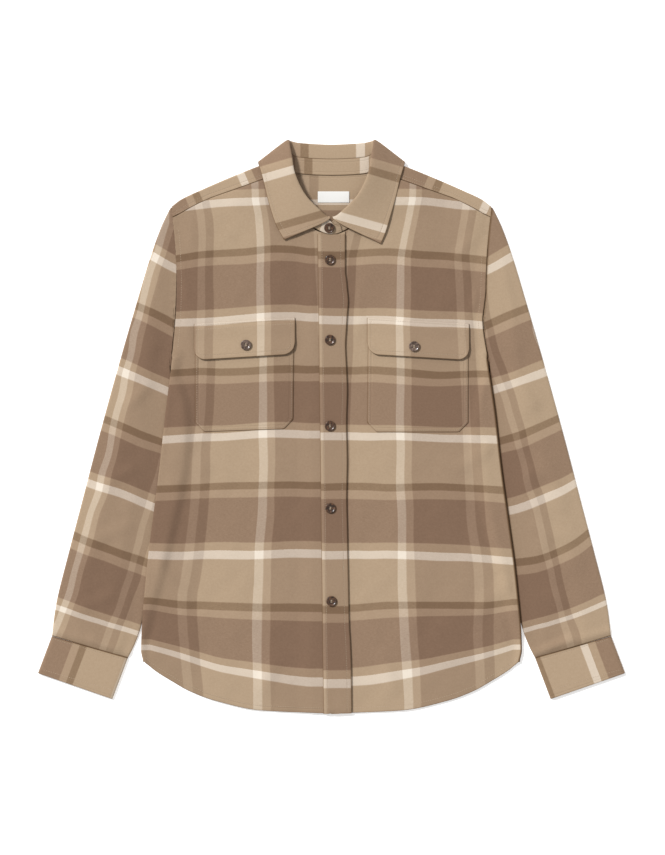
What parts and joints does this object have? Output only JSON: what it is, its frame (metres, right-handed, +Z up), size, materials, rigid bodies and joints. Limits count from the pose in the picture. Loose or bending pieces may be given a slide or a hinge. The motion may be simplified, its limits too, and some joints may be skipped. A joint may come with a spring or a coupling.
{
  "type": "checked overshirt laid flat",
  "caption": "Button-front overshirt laid flat on its back, with a shirt collar, flapped chest pockets, long sleeves, cuffs and a curved hem.",
  "frame": {"origin": "centre of the outline in plan, on the surface that the overshirt lies on", "axes": "+X across the garment towards the wearer's left, +Y up the body to the collar, +Z up off the surface"},
  "size_m": [0.7506, 0.7346, 0.0216],
  "materials": {
    "flannel": "brushed cotton flannel in a brown, khaki and cream check",
    "label": "plain woven tape",
    "horn": "dark horn-look resin",
    "pearl_horn": "lighter horn-look resin with a pearly sheen"
  },
  "bodies": {
    "root": {"back": "flannel", "yoke": "flannel", "front_right": "flannel", "front_left": "flannel", "button_band": "flannel", "pocket_right": "flannel", "pocket_left": "flannel", "flap_right": "flannel", "flap_left": "flannel", "collar_stand": "flannel", "collar_leaf": "flannel", "sleeve_right": "flannel", "sleeve_left": "flannel", "cuff_right": "flannel", "cuff_left": "flannel", "neck_label": "label", "collar_button": "horn", "band_button_1": "horn", "band_button_2": "horn", "band_button_3": "horn", "band_button_4": "horn", "band_button_5": "horn", "flap_button_right": "pearl_horn", "flap_button_left": "pearl_horn"}
  },
  "joints": []
}
